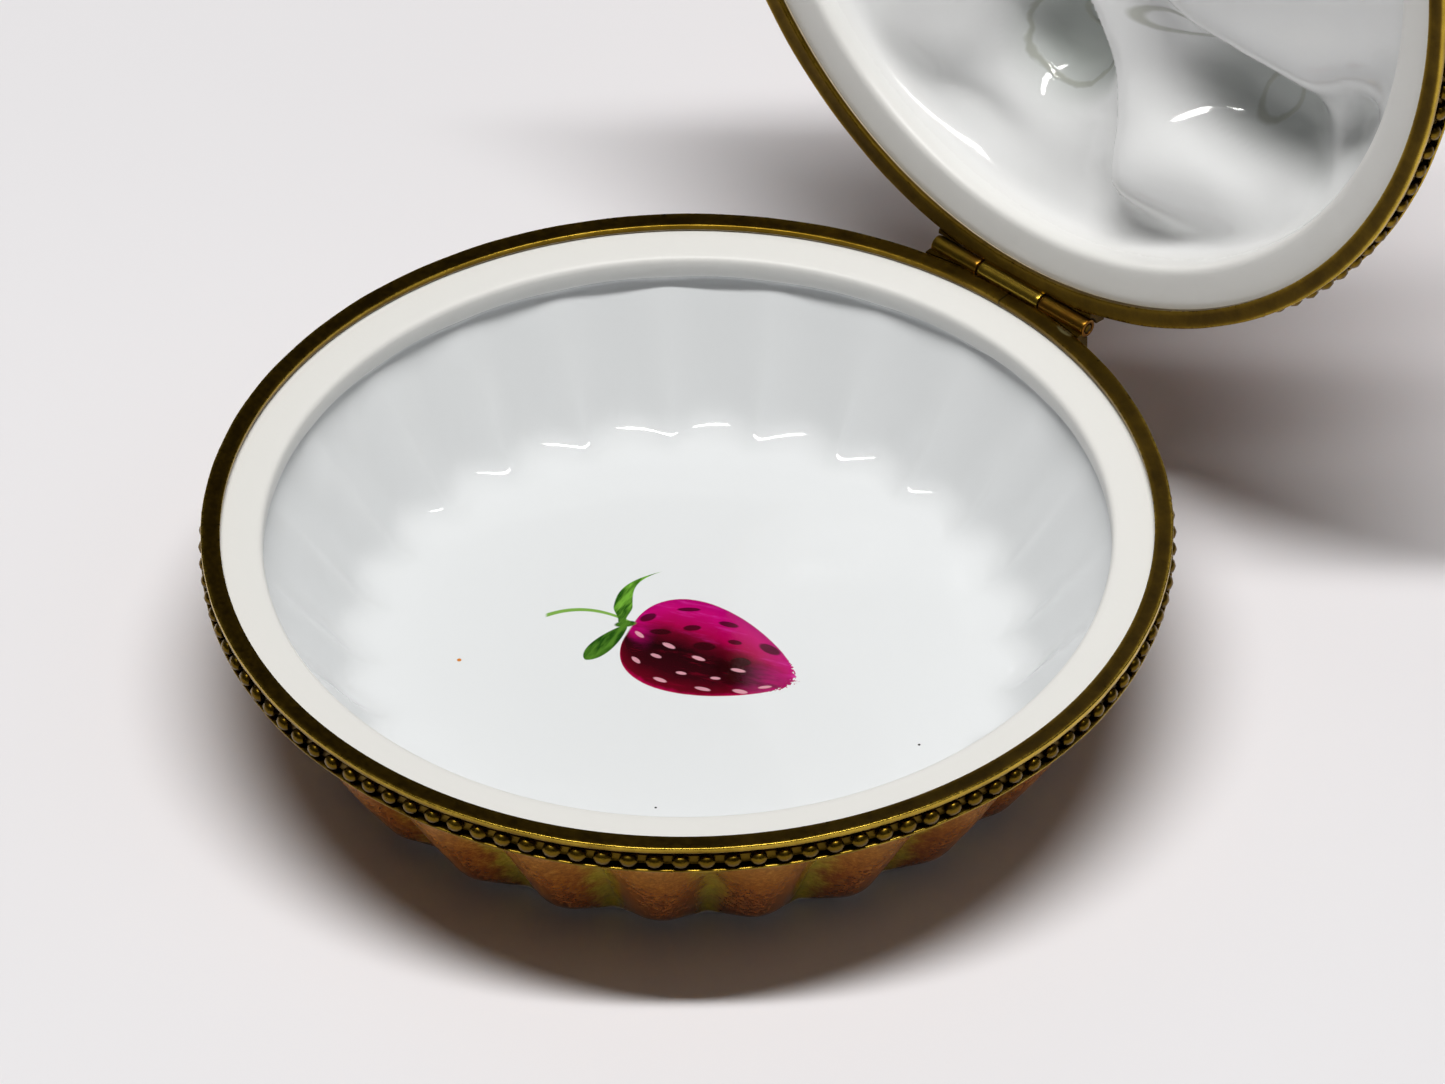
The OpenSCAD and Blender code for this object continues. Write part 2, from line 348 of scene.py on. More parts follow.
# The strawberry painted on the floor: each stroke is a curved middle line and a half width that
# changes along it, with soft edges; seeds are small turned ovals.
def paintStrawberry(s, ground):
    a = painting
    onFloor = s.axes()[2].ease(0.0015, 0.0022)
    handShake = (s.noise(900, 3, 0.6) - 0.5) * 0.5
    u, v, _ = s.axes(s.around(a["berryX"], a["berryY"], a["berryTurn"]))
    reach = (u / a["length"]).most(0.0001).least(1.0)
    middle = 0.9 - 0.055 * u
    arch = reach ** 0.62 * math.pi
    half = arch.math("SINE", arch).most(0.0) ** 0.6 * a["width"]
    fray = (s.noise(5200, 1) - 0.5) * u.ease(10.6, 12.0) * 1.5
    edge = half + fray - abs(v - middle) + handShake * 0.12
    inside = edge.ease(-0.02, 0.07) * u.ease(-0.05, 0.12) * (12.25 - u + fray).ease(0.0, 0.25)
    across = (v - middle) / half.most(0.2) * 0.5 + 0.5 + handShake * 0.22
    flesh = s.make("ShaderNodeValToRGB", dict(stops=[
        (0.0, (0.42, 0.0, 0.06)), (0.05, (0.12, 0.0, 0.008)), (0.2, (0.035, 0.0, 0.003)), (0.45, (0.012, 0.0, 0.001)),
        (0.58, (0.11, 0.0, 0.01)), (0.7, (0.36, 0.0, 0.06)), (0.88, (0.5, 0.001, 0.15)), (1.0, (0.4, 0.0, 0.14))]),
        {0: across}).out(0)
    violet = (1 - u.ease(0.3, 2.2)) * across.ease(0.25, 0.5) + u.ease(8.2, 11.0) * 0.8
    streak = s.noise(0.9, 4, 0.7, s.around(0, 0, 24, 5.0, 0.9))
    flesh = s.blend(violet * streak.ease(0.3, 0.6), flesh, rgb(0.46, 0.001, 0.15))
    flesh = s.blend(streak.ease(0.5, 0.72) * across.ease(0.5, 0.8) * 0.7, flesh, rgb(0.62, 0.03, 0.34))
    flesh = s.blend(streak.ease(0.52, 0.7) * (1 - across.ease(0.3, 0.6)) * 0.5, flesh, rgb(0.25, 0.0, 0.02))
    paint = s.blend(inside * onFloor, ground, flesh)
    p, q, _ = s.axes(s.around(a["x"], a["y"], a["turn"]))

    def seeds(rows):                                  # inside the nearest of the turned ovals
        nearest = None
        for along, out, long, wide, turn in rows:
            c, d = math.cos(math.radians(a["turn"])), math.sin(math.radians(a["turn"]))
            x, y = a["x"] + along * c - out * d, a["y"] + along * d + out * c
            here = s.size(s.around(x, y, a["turn"] + turn, long, wide))
            nearest = here if nearest is None else nearest.least(here)
        return 1 - (nearest + handShake * 0.4).ease(0.8, 1.12)

    paint = s.blend(seeds(darkSeeds) * onFloor * 0.85, paint, rgb(0.025, 0.0, 0.002))
    paint = s.blend(seeds(paleSeeds) * onFloor * (0.6 + 0.4 * streak), paint, rgb(0.78, 0.38, 0.46))
    stem = (0.19 - 0.01 * (p + 5.7) - abs(q - 1.1 + 0.115 * (p + 3.56) ** 2.0)).ease(-0.03, 0.05)
    stem = stem * p.ease(-5.85, -5.6) * (1 - p.ease(-0.3, 0.0))
    paint = s.blend(stem * onFloor, paint, s.blend(streak, rgb(0.1, 0.27, 0.02), rgb(0.3, 0.52, 0.12)))
    rise = q.most(0.001)
    leafUp = 0.68 * (1 - (rise / 4.9) ** 2.2) * (0.4 + 0.6 * rise.ease(0.0, 1.4))
    leafUp = (leafUp - abs(p + 0.72 - 0.05 * rise - 0.0009 * rise ** 5.0)).ease(-0.03, 0.05)
    leafUp = leafUp * q.ease(-0.35, -0.15) * (1 - q.ease(4.75, 4.9))
    lu, lv, _ = s.axes(s.around(a["x"] + 0.15, a["y"] - 2.82, a["turn"] + 54.0, 2.2, 1.0))
    leafDown = 0.74 * (1 - lu * lu).most(0.0) ** 0.6 * (0.95 - lu * 0.3) - abs(lv + 0.12 * lu)
    leafDown = leafDown.ease(-0.03, 0.05) * (1 - abs(lu).ease(0.99, 1.02))
    knot = 1 - s.size(s.around(a["x"] - 0.12, a["y"] - 0.62, a["turn"] + 8, 0.75, 0.32)).ease(0.8, 1.1)
    leafStreak = s.noise(1.3, 3, 0.6, s.around(0, 0, a["turn"] + 62, 3.2, 0.7))
    green = s.blend(leafStreak.ease(0.35, 0.65), rgb(0.012, 0.075, 0.003), rgb(0.17, 0.42, 0.04))
    green = s.blend((1 - q.ease(-0.2, 1.6)) * 0.55, green, rgb(0.008, 0.05, 0.003))
    leaves = leafUp.most(leafDown).most(knot)
    return s.blend(leaves * onFloor, paint, green)


# A few specks and marks that such an old piece has: small round spots at set places.
def addSpecks(s, colour, spots):
    for x, y, radius, tint in spots:
        dot = 1 - s.size(s.around(x, y, 0, radius, radius)).ease(0.7, 1.15)
        colour = s.blend(dot * s.axes()[2].ease(0.0015, 0.002), colour, rgb(*tint))
    return colour


pastry = dict(rust=(0.36, 0.1, 0.006), deep=(0.1, 0.016, 0.001), valley=(0.4, 0.32, 0.02), tan=(0.6, 0.31, 0.06),
              custard=(0.74, 0.55, 0.2), browned=(0.6, 0.36, 0.08))


# Pastry paint outside: rust stippling that is dense on the crests and thins into a yellow valley.
def pastryColour(s, ridge, band):
    stipple = s.noise(2300, 4, 0.9)
    cloud = s.noise(450, 4, 0.65)
    patch = (ridge + (cloud - 0.5) * 1.2).ease(-0.05, 0.62)
    base = s.blend(patch, rgb(*pastry["valley"]), rgb(*pastry["rust"]))
    base = s.blend(stipple.ease(0.4, 0.64) * (0.35 + 0.5 * ridge), base, rgb(*pastry["deep"]))
    base = s.blend((1 - stipple).ease(0.5, 0.68) * 0.5, base, rgb(*pastry["tan"]))
    # painted shade: the paint is darkened towards the foot, where the overhang of the rim shades it
    low = 1 - s.axes()[2].ease(0.002, 0.011)
    base = s.blend(low * 0.45 * patch * s.attribute("foot"), base, rgb(*pastry["deep"]))
    base = s.blend(cloud.ease(0.45, 0.75) * 0.5 * patch, base, rgb(*pastry["deep"]))
    return s.blend(band * 0.8, base, rgb(*pastry["tan"]))


# thin darker lines inside the lid: oval rings by centre, half sizes and turn, in the closed lid's millimetres
ovalLines = [(-4.0, 18.1, 3.3, 3.0, 0), (-2.2, 15.9, 1.9, 1.1, -12), (13.6, 13.9, 1.3, 2.2, 30),
             (6.4, 10.9, 3.4, 0.8, -10)]

# specks in the dish's glaze: x, y, radius, colour
specks = [(-10.8, -10.6, 0.16, (0.6, 0.2, 0.02)), (8.7, -12.9, 0.09, (0.02, 0.02, 0.02)),
          (17.5, 3.1, 0.1, (0.03, 0.03, 0.03)), (28.1, 4.6, 0.3, (0.6, 0.26, 0.06)),
          (27.9, 3.7, 0.2, (0.62, 0.3, 0.1))]


# How near a point is to one of these lines: its oval distance from one, times the smaller half size, made soft.
def nearOvalLine(s):
    x, y = s.attribute("flatX"), s.attribute("flatY")
    wave = (s.noise(260, 3, 0.6) - 0.5) * 0.5
    nearest = None
    for cx, cy, wide, high, turn in ovalLines:
        c, q = math.cos(math.radians(turn)), math.sin(math.radians(turn))
        u = ((x - cx) * c + (y - cy) * q) / wide
        v = ((y - cy) * c - (x - cx) * q) / high
        away = abs((u * u + v * v) ** 0.5 - 1 + wave) * min(wide, high)
        nearest = away if nearest is None else nearest.least(away)
    return 1 - nearest.ease(0.05, 0.24)


# Glazed porcelain: white inside, matt and warmer where bare, pastry paint outside. The height under the
# gloss is a slow ripple plus fine grain, which is strongest where the clay is bare.
def porcelainMaterial(name, painted):
    s = Shader(name)
    cloud = s.noise(60, 2)
    bare = s.attribute("bare")
    # painted light: the lid's porcelain gets a brighter white than the dish's, for the light falling on it
    white = glaze["white"] if painted else glaze["paintedLightLidWhite"]
    colour = s.blend(cloud, rgb(*white), rgb(*[c * 0.985 for c in white]))
    if painted:
        colour = addSpecks(s, paintStrawberry(s, colour), specks)
    outside = s.attribute("outside")
    line = 0.0
    if not painted:                                   # painted shade in the deepest hollows; darker oval lines
        line = nearOvalLine(s) * (1 - outside)
        colour = s.blend(s.attribute("pool") * 0.85, colour, rgb(*glaze["pool"]))
        colour = s.blend(line * 0.6, colour, rgb(*glaze["slip"]))
    colour = s.blend(bare, colour, rgb(*glaze["ring"]))
    crust = pastryColour(s, s.attribute("ridge"), s.attribute("band"))
    if not painted:                                   # custard between the berries
        custard = s.blend(s.noise(330, 4, 0.6).ease(0.35, 0.7), rgb(*pastry["custard"]), rgb(*pastry["browned"]))
        crust = s.blend(s.attribute("cream"), crust, custard)
    colour = s.blend(outside.ease(0.3, 0.6), colour, crust)
    grain = s.noise(3000, 3, 0.6)
    ripple = s.noise(180, 2) + (s.noise(1100, 2) - 0.5) * (0.03 if painted else 0.35)
    rough = glaze["rough"] + bare * 0.36 + outside * 0.12 + (grain - 0.5) * 0.05
    height = ripple * (0.6 - 0.3 * outside) + grain * (0.04 + 0.25 * bare + 0.05 * outside) + line * 1.2
    return s.finish(baseColor=colour, roughness=rough, ior=1.43, normal=s.bump(height, 0.00006, 0.6))


dishPorcelain = porcelainMaterial("paintedDishPorcelain", True)
lidPorcelain = porcelainMaterial("lidPorcelain", False)
cementShader = Shader("boneCement")
cementPaste = cementShader.noise(1500, 3)
cementMaterial = cementShader.finish(
    baseColor=cementShader.blend(cementPaste, rgb(0.42, 0.33, 0.2), rgb(0.62, 0.54, 0.4)), roughness=0.75,
    normal=cementShader.bump(cementPaste, 0.00004))
print("materials made")


dish = dict(around=576, along=150, floorZ=2.9, rimR=30.75, rimZ=13.4, ringR=27.8)


# How far out a flute stands, 0 in the valley to 1 on the crest: the size of a cosine, softened at its cusp.
def fluteWave(angle, soft):
    wave = np.sqrt(np.cos(fluteCount / 2 * (angle - fluteTurn)) ** 2 + soft ** 2)
    return (wave - soft) / (math.sqrt(1 + soft ** 2) - soft)


# The dish: one closed profile of radius and height, carried round the axis. Outside, the radius grows by
# the flute wave times a height that fades upwards; inside, shallow grooves follow the same flutes.
def dishShape():
    d = dish
    # radius, height, outer flute, inner flute, bare, outside, band under the mount
    corners = [(0, 0.3, 0, 0, 0, 0, 0), (20.3, 0.3, 0, 0, 0, 0, 0), (20.7, 0, 0, 0, 1, 0, 0), (22.4, 0, 0, 0, 1, 0, 0),
               (23.0, 0.5, 0.6, 0, 0.5, 0.4, 0), (23.2, 1.5, 1.85, 0, 0, 1, 0), (26.3, 6.4, 1.9, 0, 0, 1, 0),
               (29.75, 10.9, 0.9, 0, 0, 1, 0.4), (30.4, 11.9, 0.35, 0, 0, 1, 1),
               (d["rimR"], 12.2, 0, 0, 0.5, 1, 1), (d["rimR"], d["rimZ"], 0, 0, 1, 0, 0),
               (d["ringR"], d["rimZ"] - 0.03, 0, 0, 1, 0, 0), (d["ringR"], 11.8, 0, 0, 0.8, 0, 0),
               (28.3, 11.3, 0, 0.2, 0, 0, 0), (21.5, d["floorZ"], 0, 1.1, 0, 0, 0),
               (16.5, d["floorZ"], 0, 0.0, 0, 0, 0), (0, d["floorZ"] - 0.02, 0, 0, 0, 0, 0)]
    reach = [0, 0.2, 0.15, 0.3, 0.5, 0.7, 2.0, 0.8, 0.3, 0.2, 0.15, 0.55, 0.35, 0.4, 1.9, 1.5, 0]
    path = roundedPath(corners, reach, d["along"], 1.6)[:, None, :]
    angle = np.linspace(0, 2 * math.pi, d["around"], endpoint=False)[None, :]
    crest, groove = fluteWave(angle, 0.12), fluteWave(angle, 0.22)
    wobble = 0.05 * np.sin(3 * angle + 0.7) + 0.03 * np.sin(7 * angle)
    fade = np.clip((path[..., 0] - 15) / 8, 0, 1)
    radius = path[..., 0] + path[..., 2] * crest + path[..., 3] * groove + wobble * fade * (path[..., 4] < 0.1)
    return gridShape(revolve(radius, path[..., 1], angle), bare=path[..., 4], outside=path[..., 5], foot=1.0,
                     ridge=crest * np.minimum(path[..., 2] / 0.5, 1), band=path[..., 6])


makePiece("baseDish", [dishShape()], "base", dishPorcelain, ["base_dish"], 50)


# own and other are the room left round a tube that is soldered to this mount or turns beside it
mountSize = dict(inner=30.6, wallIn=30.9, wallOut=31.25, height=2.1, gap=0.05, flange=0.4, around=720, along=54,
                 edgeFrom=31.6, own=0.6, other=0.76, middleHalf=2.75, hingeHalf=6.85)


# The mount's section carried round, upright wall and flat edge; where it would cross a hinge tube
# its points are pushed back to a cylinder about the hinge axis.
def mountShape(ownMiddle):
    m = mountSize
    # radius, depth below the meeting plane, wear
    corners = [(m["wallIn"], m["height"], 0), (mountR, m["height"], 0.5), (mountR, m["height"] - 0.17, 0.75),
               (m["wallOut"], m["height"] - 0.24, 0.0), (m["wallOut"], 0.72, 0.0), (mountR - 0.02, 0.52, 0.45),
               (mountR, m["gap"], 1.0), (mountR - 0.2, m["gap"], 0.4), (mountR - 0.32, m["gap"], 0.05),
               (31.2, m["gap"] + 0.015, 0.0), (m["inner"] + 0.2, m["gap"], 0.05), (m["inner"], m["gap"], 0.7),
               (m["inner"], m["gap"] + m["flange"], 0.1), (m["wallIn"], m["gap"] + m["flange"], 0.0)]
    reach = [0.05, 0.08, 0.08, 0.06, 0.08, 0.12, 0.13, 0.05, 0.05, 0.2, 0.06, 0.07, 0.05, 0.03]
    path = roundedPath(corners, reach, m["along"], 0.35, closed=True)[:, None, :]
    angle = np.linspace(0, 2 * math.pi, m["around"], endpoint=False)[None, :]
    ding = 0.02 * np.sin(5 * angle + 1.0) + 0.012 * np.sin(17 * angle) + 0.008 * np.sin(41 * angle + 2)
    radius = path[..., 0] + (ding - 0.03) * (path[..., 0] > m["edgeFrom"])
    points = revolve(radius, meetZ - path[..., 1], angle)
    dy, dz = points[..., 1] - hingeY, points[..., 2] - hingeZ
    away = np.hypot(dy, dz) + 1e-9
    sideways = np.abs(points[..., 0])
    clear = np.where((sideways < m["middleHalf"]) == ownMiddle, m["own"], m["other"])
    push = np.maximum(clear * (sideways < m["hingeHalf"]) * (points[..., 1] > 0) / away, 1)
    points = np.stack([points[..., 0], hingeY + dy * push,
                       hingeZ + np.minimum(dz * push, 0.0) - 0.03 * (push > 1)], -1)
    wear = path[..., 2] + 0.15 * np.sin(angle * 2 + 1) * (path[..., 2] > 0.3)
    return gridShape(points, wrapRows=True, wear=wear)


# out, along and up are half sizes of one bead; the gaps are in degrees from the hinge and from the clasp
beads = dict(count=118, row=31.62, depth=1.33, out=0.46, along=0.62, up=0.5, hingeGap=13.0, claspGap=5.2)


# One bead: a slightly long ball set into the wall, out times cosine by cosine and so on; beads stand at
# equal angles, none at the hinge or clasp. A thin band with a rounded section joins them.
def beadRowShapes(skipClasp):
    b = beads
    place = np.radians(90 + (np.arange(b["count"]) + 0.5) * 360 / b["count"])
    off = np.abs((np.degrees(place) - 90 + 180) % 360 - 180)
    keep = off > b["hingeGap"] + 0.6
    if skipClasp:
        keep &= off < 180 - b["claspGap"] - 0.5
    place = place[keep]
    u = np.linspace(-math.pi / 2, math.pi / 2, 7)[:, None]
    v = np.linspace(0, 2 * math.pi, 10, endpoint=False)[None, :]
    x, y = b["out"] * np.cos(u) * np.cos(v), b["along"] * np.cos(u) * np.sin(v)
    z = b["up"] * np.sin(u) + 0 * v
    # brighter on the outer face from rubbing, and brighter towards the top as a painted highlight from the light above
    wear = np.clip(0.75 * x + 0.4 * np.sin(u), 0, 1)
    shapes = []
    for k, a in enumerate(place):
        grow = 1 + 0.05 * math.sin(k * 12.9898)
        px, py = b["row"] + x * grow, y * grow
        points = np.stack([px * math.cos(a) - py * math.sin(a), px * math.sin(a) + py * math.cos(a),
                           meetZ - b["depth"] + z * grow], -1)
        shapes.append(gridShape(points, wear=wear))
    section = np.array([(31.2, -0.34), (31.34, -0.34), (31.42, -0.28), (31.44, 0), (31.42, 0.28), (31.34, 0.34),
                        (31.2, 0.34)])
    start, stop = 90 + b["hingeGap"], 450 - b["hingeGap"]
    stretches = [(start, 270 - b["claspGap"]), (270 + b["claspGap"], stop)] if skipClasp else [(start, stop)]
    for low, high in stretches:
        a = np.radians(np.linspace(low, high, int((high - low) * 2)))[None, :]
        band = revolve(section[:, :1], meetZ - b["depth"] + section[:, 1:], a)
        shapes.append(closedStrip(band, wear=0.1))
    return shapes


# An open strip of a closed section: its two ends are closed on their middle points.
def closedStrip(points, **values):
    first, last = points[:, :1].mean(0, keepdims=True), points[:, -1:].mean(0, keepdims=True)
    first, last = np.repeat(first, len(points), 0), np.repeat(last, len(points), 0)
    whole = np.concatenate([first, points, last], 1)
    return gridShape(whole, wrapRows=True, wrapColumns=False, **values)


# The same shape above the meeting plane: twice the plane's height less its own.
def mirrorUp(shape):
    points = shape[0].copy()
    points[:, 2] = 2 * meetZ - points[:, 2]
    return points, shape[1], shape[2]


makePiece("baseMount", [mountShape(False)], "base", mountBrass, ["base_bezel"])
makePiece("baseBeads", beadRowShapes(False), "base", beadBrass, ["base_bead_wire"])
makePiece("lidMount", [swungShape(mirrorUp(mountShape(True)))], "lid", mountBrass, ["lid_bezel"])
makePiece("lidBeads", [swungShape(mirrorUp(b)) for b in beadRowShapes(True)], "lid", beadBrass,
          ["lid_bead_wire"])


hinge = dict(tube=0.65, bore=0.4, pin=0.345, whole=13.4, middle=5.3, gap=0.1, seam=0.05)


# A rolled tube: a rounded section turned about the hinge axis, with a fine groove where the strip meets.
def tubeShape(left, right, seamTurn):
    h = hinge
    corners = [(left, h["bore"], 0.1), (left, h["tube"], 0.6), (right, h["tube"], 0.6), (right, h["bore"], 0.1)]
    path = roundedPath(corners, [0.03, 0.12, 0.12, 0.03], 44, 0.5, closed=True)[:, None, :]
    turn = np.linspace(0, 2 * math.pi, 64, endpoint=False)[None, :]
    fromSeam = np.abs((turn - seamTurn + math.pi) % (2 * math.pi) - math.pi)
    radius = path[..., 1] - h["seam"] * np.exp(-(fromSeam / 0.09) ** 2) * (path[..., 1] > 0.5)
    radius = radius + 0.003 * np.sin(path[..., 0] * 5 + turn * 3) * (path[..., 1] > 0.5)
    points = np.stack([path[..., 0] + 0 * turn, hingeY + radius * np.cos(turn), hingeZ + radius * np.sin(turn)], -1)
    return gridShape(points, wrapRows=True, wear=np.clip(path[..., 2] - 0.5 * (fromSeam < 0.12), 0, 1))


# The pin: a rod turned about the hinge axis with slightly domed, hammered ends.
def pinShape():
    h = hinge
    end = h["whole"] / 2
    corners = [(-end - 0.03, 0, 0.9), (-end, 0.3, 0.6), (-end + 0.15, h["pin"], 0.3), (end - 0.15, h["pin"], 0.3),
               (end, 0.3, 0.6), (end + 0.03, 0, 0.9)]
    path = roundedPath(corners, [0, 0.08, 0.1, 0.1, 0.08, 0], 40, 0.5)[:, None, :]
    turn = np.linspace(0, 2 * math.pi, 40, endpoint=False)[None, :]
    return gridShape(np.stack([path[..., 0] + 0 * turn, hingeY + path[..., 1] * np.cos(turn),
                               hingeZ + path[..., 1] * np.sin(turn)], -1), wear=path[..., 2])


halfMiddle, halfWhole = hinge["middle"] / 2, hinge["whole"] / 2
makePiece("hingeTubeLeft", [tubeShape(-halfWhole, -halfMiddle - hinge["gap"], -1.9)], "base", outerKnuckleBrass,
          ["base_knuckle_left"])
makePiece("hingeTubeRight", [tubeShape(halfMiddle + hinge["gap"], halfWhole, -1.9)], "base", outerKnuckleBrass,
          ["base_knuckle_right"])
makePiece("hingeTubeMiddle", [tubeShape(-halfMiddle, halfMiddle, 0.4)], "lid", middleKnuckleBrass,
          ["lid_knuckle"])
makePiece("hingePin", [pinShape()], "base", plainBrass, ["hinge_pin"])


lid = dict(around=480, along=190, rimR=30.75, ringR=27.8, top=8.9, wall=0.9)

# lumps of the lid's inner side: x, y, half sizes, turn, depth away from the bowl, steepness of the edge
lumps = [(-3.8, 17.6, 4.3, 4.0, 10, 4.3, 2.6), (10.4, 21.0, 6.0, 4.2, -6, -2.2, 2.2),
         (13.0, 13.6, 6.2, 3.7, -4, 3.5, 2.4), (14.0, 0.4, 14.5, 9.6, -3, -2.8, 8.0),
         (23.0, 10.4, 1.9, 3.4, 14, 2.2, 1.8), (19.8, 15.8, 1.7, 1.5, 0, 1.1, 1.5),
         (-8.4, 24.6, 4.4, 1.7, 14, 1.2, 1.6), (-12.6, 19.4, 3.9, 5.4, 24, -2.0, 2.0),
         (11.5, 25.0, 6.4, 1.5, -16, 1.6, 1.5), (-18.5, 8.0, 4.6, 4.2, 0, 2.4, 2.0),
         (-6.5, 6.5, 5.4, 3.6, 15, 1.8, 2.0), (-13, -6, 5.5, 4.5, 40, -2.0, 2.2),
         (-3.0, -17, 5.0, 4.0, 0, 2.4, 2.0), (2.5, -7.5, 4.2, 4.2, 0, 2.0, 2.0),
         (15, -13, 5.0, 4.2, 30, 2.4, 2.2), (-15.5, -15.5, 3.6, 3.6, 0, 1.9, 2.0),
         (6, -21, 5, 3, 10, -1.6, 2.0)]

# the fold between two of them: where its parabola starts, its slope and bend, the step and crest heights
fold = dict(x=1.0, y=14.1, slope=0.774, bend=0.0372, step=1.5, crest=0.4)


# The lumpy inner side: each lump is a flat-topped bell, the fall-off of its own turned oval distance.
# A fold runs along a parabola: a soft step down to the pillow beside it, with a thin crest on its edge.
def innerRelief(x, y):
    depth = np.zeros_like(x)
    for cx, cy, wide, high, turn, deep, edge in lumps:
        t = math.radians(turn)
        u = (x - cx) * math.cos(t) + (y - cy) * math.sin(t)
        v = (y - cy) * math.cos(t) - (x - cx) * math.sin(t)
        depth += deep / (1 + np.hypot(u / wide, v / high) ** (2 * edge))
    t = y - fold["y"]
    side = x - (fold["x"] + fold["slope"] * t - fold["bend"] * t ** 2)
    reach = np.clip((y - 8) / 4, 0, 1) * np.clip((25.2 - y) / 3, 0, 1)
    reach = reach * reach * (3 - 2 * reach)
    step = fold["step"] / (1 + np.exp(-np.clip(side, -20, 20) / 0.32)) * np.exp(-(np.maximum(side, 0) / 5) ** 2)
    depth -= reach * (step + fold["crest"] * np.exp(-(side / 0.4) ** 2))
    return depth + 0.08 * np.sin(x * 0.9 + 0.6 * y) * np.sin(y * 0.7 - 0.3 * x)


# Height of the hollow above the meeting plane: a broad curve over the radius plus the relief.
def hollowHeight(x, y):
    r = np.hypot(x, y)
    curve = np.interp(r, [0, 8, 19, 24.2, 27.3], [6.2, 6.0, 5.4, 4.8, 3.3])
    return curve + innerRelief(x, y) * np.clip((27.6 - r) / 3.4, 0, 1)


# The lid: a closed profile from the top round the rim to the hollow, carried round; the hollow's depth
# gets the relief, fading at the wall, and the outer edge is crimped like a tart's.
def lidShape():
    d = lid
    # radius, height above the meeting plane, crimp, relief, bare, outside, band
    corners = [(0, d["top"], 0, 0, 0, 1, 0), (14, 8.2, 0, 0, 0, 1, 0), (25.3, 6.75, 0.25, 0, 0, 1, 0),
               (28.9, 5.2, 0.9, 0, 0, 1, 0), (30.1, 3.4, 0.5, 0, 0, 1, 0.3), (30.45, 2.1, 0.3, 0, 0, 1, 1),
               (d["rimR"], 1.8, 0, 0, 0.5, 1, 1), (d["rimR"], 0.6, 0, 0, 1, 0, 0), (d["ringR"], 0.63, 0, 0, 1, 0, 0),
               (d["ringR"] - 0.05, 2.1, 0, 0, 0.6, 0, 0), (27.3, 3.3, 0, 0.15, 0, 0, 0), (24.2, 4.8, 0, 1, 0, 0, 0),
               (19, 5.4, 0, 1, 0, 0, 0), (8, 6.0, 0, 1, 0, 0, 0), (0, 6.2, 0, 1, 0, 0, 0)]
    reach = [0, 4, 2.5, 1.2, 0.8, 0.3, 0.2, 0.15, 0.6, 0.5, 1.0, 2.0, 2.5, 4, 0]
    path = roundedPath(corners, reach, d["along"], 1.4)[:, None, :]
    angle = np.linspace(0, 2 * math.pi, d["around"], endpoint=False)[None, :]
    crest = fluteWave(angle, 0.12)
    radius = path[..., 0] - path[..., 2] * (1 - crest) * 0.9
    x, y = radius * np.cos(angle), radius * np.sin(angle)
    height = path[..., 1] + path[..., 3] * innerRelief(x, y) - 0.25 * path[..., 2] * (1 - crest)
    over = np.clip((26 - path[..., 0]) / 3, 0, 1) * (path[..., 5] > 0.99)
    height = height + over * np.maximum(hollowHeight(x, y) + d["wall"] - height, 0)
    # painted shade: deeper hollows get more of the darker colour on the lid's inside
    pool = np.clip((innerRelief(x, y) - 0.9) / 3.2, 0, 1) * path[..., 3] * (path[..., 5] < 0.5)
    cream = np.clip((25.4 - radius - 0.5 * crest) / 0.6, 0, 1)
    ridge = crest * np.clip(path[..., 2] * 2, 0, 1) + (path[..., 0] < 25) * 0.5
    return gridShape(np.stack([x, y, meetZ + height], -1), bare=path[..., 4], outside=path[..., 5], cream=cream,
                     pool=pool, flatX=x, flatY=y, ridge=ridge, band=path[..., 6])


makePiece("lidShell", [swungShape(lidShape())], "lid", lidPorcelain, ["lid_shell"], 60)


# a ring of whole berries and a few in the middle; girth, tip and tail are a berry's own half width and reach
berries = dict(ring=18.0, phase=96.0, count=7, lift=7.4, middleRing=5.9, middleCount=3, middleLift=8.0,
               girth=5.7, tip=7.2, tail=4.6, seedRows=9, seedsRound=14, pit=0.28, seed=0.14, floor=6.6)


